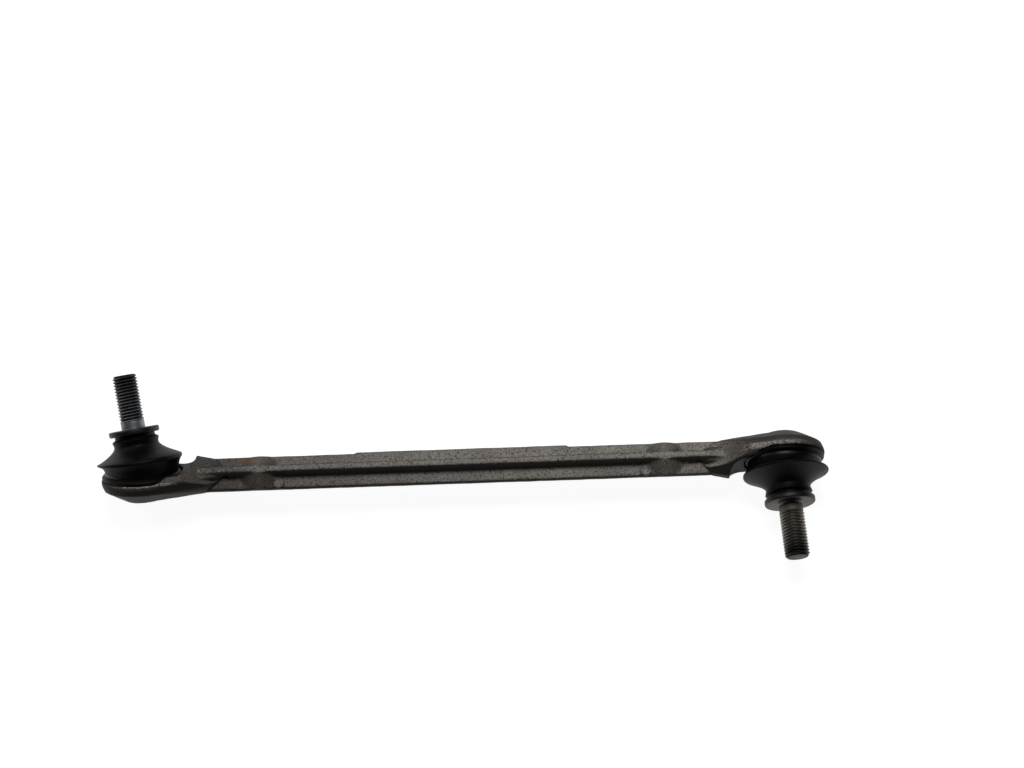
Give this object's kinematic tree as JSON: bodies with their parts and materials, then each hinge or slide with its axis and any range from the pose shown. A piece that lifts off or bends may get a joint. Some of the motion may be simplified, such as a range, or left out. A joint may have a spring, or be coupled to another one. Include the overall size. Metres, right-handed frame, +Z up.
{
  "type": "stabilizer link",
  "caption": "Forged aluminium anti-roll bar link: a ribbed rod with a booted ball joint at each end, the threaded studs pointing opposite ways.",
  "frame": {"origin": "centre of the right flange's seat, on the right stud's axis", "axes": "+X along the rod from the left ball to the right ball, -Y on the side of the right stud, +Z up as the link lies on a bench"},
  "size_m": [0.3522, 0.099, 0.0443],
  "materials": {
    "forged_aluminium": "forged, dull grey-brown",
    "bearing_plastic": "moulded, natural",
    "plug_metal": "turned, dull",
    "ring_steel": "blackened",
    "boot_rubber": "moulded, satin black",
    "insert_steel": "bare",
    "ball_steel": "polished",
    "stud_steel": "zinc coated, dark grey"
  },
  "bodies": {
    "link": {"link_body": "forged_aluminium", "left_bearing_shell": "bearing_plastic", "left_closing_plug": "plug_metal", "left_boot_base_ring": "ring_steel", "right_bearing_shell": "bearing_plastic", "right_closing_plug": "plug_metal", "right_boot_base_ring": "ring_steel"},
    "left_lean": {"left_boot": "boot_rubber"},
    "left_swing": {"left_boot_neck_ring": "insert_steel"},
    "left_stud": {"left_ball_stud": "stud_steel", "left_ball": "ball_steel"},
    "right_lean": {"right_boot": "boot_rubber"},
    "right_swing": {"right_boot_neck_ring": "insert_steel"},
    "right_stud": {"right_ball_stud": "stud_steel", "right_ball": "ball_steel"}
  },
  "joints": [
    {"name": "left_lean_joint", "type": "hinge", "parent": "link", "child": "left_lean", "pos_m": [-0.31148, 0.02415, 0], "axis": [1, 0, 0], "range_deg": [-4.9, 25.1], "deforming": ["left_boot"]},
    {"name": "left_swing_joint", "type": "hinge", "parent": "left_lean", "child": "left_swing", "pos_m": [-0.31148, 0.02415, 0], "axis": [0, 0.373, -0.9278], "range_deg": [-7.1, 22.9], "deforming": ["left_boot"]},
    {"name": "left_spin_joint", "type": "hinge", "parent": "left_swing", "child": "left_stud", "pos_m": [-0.31148, 0.02415, 0], "axis": [-0.1371, 0.9191, 0.3695], "continuous": true},
    {"name": "right_lean_joint", "type": "hinge", "parent": "link", "child": "right_lean", "pos_m": [-0.00148, 0.02415, 0], "axis": [-1, 0, 0], "range_deg": [-15, 15], "deforming": ["right_boot"]},
    {"name": "right_swing_joint", "type": "hinge", "parent": "right_lean", "child": "right_swing", "pos_m": [-0.00148, 0.02415, 0], "axis": [0, 0, -1], "range_deg": [-11.5, 18.5], "deforming": ["right_boot"]},
    {"name": "right_spin_joint", "type": "hinge", "parent": "right_swing", "child": "right_stud", "pos_m": [-0.00148, 0.02415, 0], "axis": [0.061, -0.9981, 0], "continuous": true}
  ]
}
